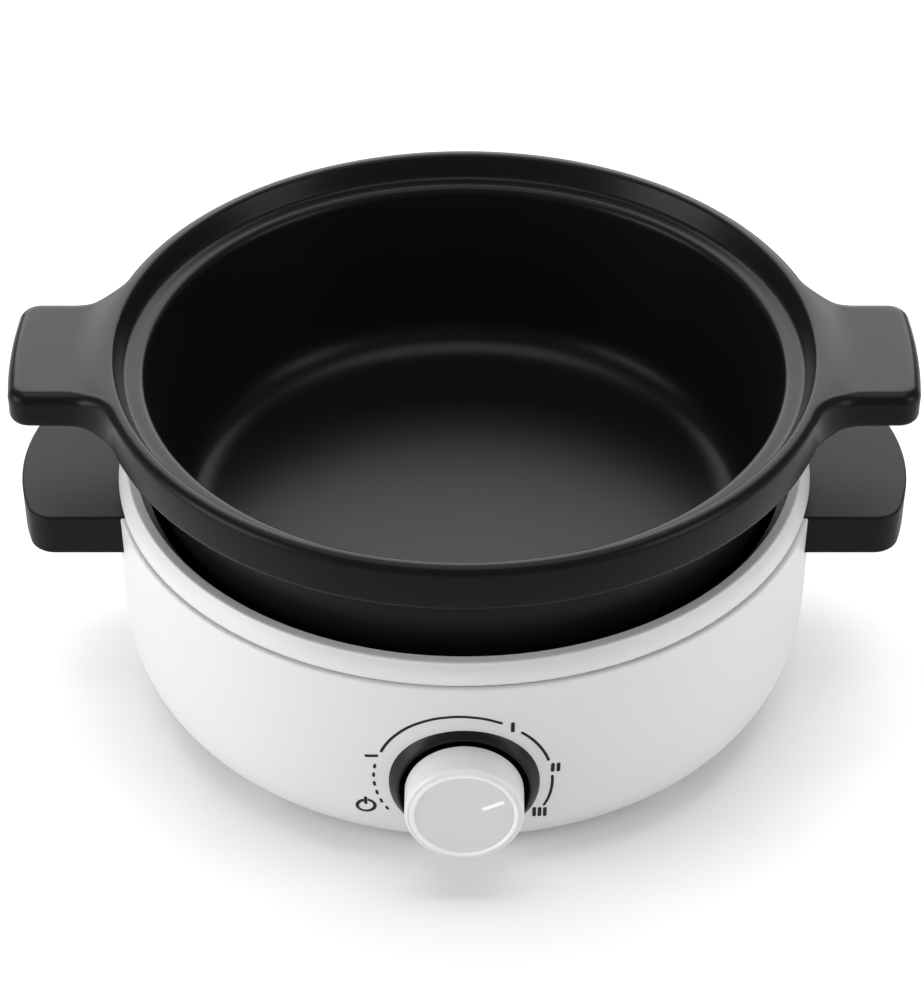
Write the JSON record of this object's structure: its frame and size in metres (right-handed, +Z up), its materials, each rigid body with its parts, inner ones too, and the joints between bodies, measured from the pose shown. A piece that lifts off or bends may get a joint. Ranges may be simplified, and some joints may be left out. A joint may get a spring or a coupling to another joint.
{
  "type": "slow cooker",
  "caption": "Round electric slow cooker: a black glazed pot with tab handles lifts out of a white heated base with side handles and a front control knob.",
  "frame": {"origin": "middle of the whole object's footprint, on the surface it stands on", "axes": "+X towards the right-hand handles seen from the front, -Y towards the control knob at the front, +Z up"},
  "size_m": [0.3548, 0.2974, 0.152],
  "materials": {
    "glazed_pot": "satin black glaze",
    "casing": "satin white moulding",
    "trim_ring": "satin white moulding",
    "black_moulding": "fine matte texture",
    "bezel_black": "smooth black",
    "knob_grey": "satin pale grey",
    "pointer_white": "white inlay",
    "rubber_pad": "matte",
    "cover_black": "fine texture",
    "bowl_steel": "drawn steel",
    "bowl_enamel": "dark enamel",
    "cast_plate": "machined face",
    "sheath_steel": "heat tinted",
    "zinc_steel": "zinc plated",
    "brass": "plain turned",
    "silicone": "matte silicone",
    "copper_tube": "drawn tube",
    "switch_body": "moulded",
    "fuse_can": "plain",
    "terminal_white": "moulded",
    "wire_live": "insulation",
    "wire_neutral": "insulation",
    "wire_switched": "insulation"
  },
  "bodies": {
    "base": {"base_shell": "casing", "top_ring": "trim_ring", "left_base_handle": "black_moulding", "right_base_handle": "black_moulding", "bottom_cover": "cover_black", "feet": "casing", "foot_pads": "rubber_pad", "heater_bowl": "bowl_enamel", "bowl_seal": "silicone", "heating_plate": "cast_plate", "heating_element": "sheath_steel", "element_clamps": "zinc_steel", "clamp_screws": "zinc_steel", "heat_shield": "bowl_steel", "shield_spacers": "zinc_steel", "plate_screws": "zinc_steel", "thermal_fuse": "fuse_can", "fuse_clip": "zinc_steel", "sensor_bulb": "copper_tube", "capillary_tube": "copper_tube", "knob_bezel": "bezel_black", "thermostat_body": "switch_body", "thermostat_nut": "brass", "cord_gland": "black_moulding", "cord_clamp": "black_moulding", "terminal_block": "terminal_white", "earth_tab": "zinc_steel", "cover_screws": "zinc_steel", "handle_screws": "zinc_steel", "live_wire": "wire_live", "neutral_wire": "wire_neutral", "switched_wire": "wire_switched"},
    "pot_body": {"pot": "glazed_pot"},
    "knob_body": {"knob": "knob_grey", "knob_pointer": "pointer_white", "knob_clip": "zinc_steel", "thermostat_shaft": "zinc_steel"}
  },
  "joints": [
    {"name": "pot_lift", "type": "slide", "parent": "base", "child": "pot_body", "axis": [0, 0, 1], "range_m": [0, 0.15]},
    {"name": "knob_turn", "type": "hinge", "parent": "base", "child": "knob_body", "pos_m": [0, -0.14, 0.0442], "axis": [0, -1, 0], "range_deg": [-54, 178]}
  ]
}
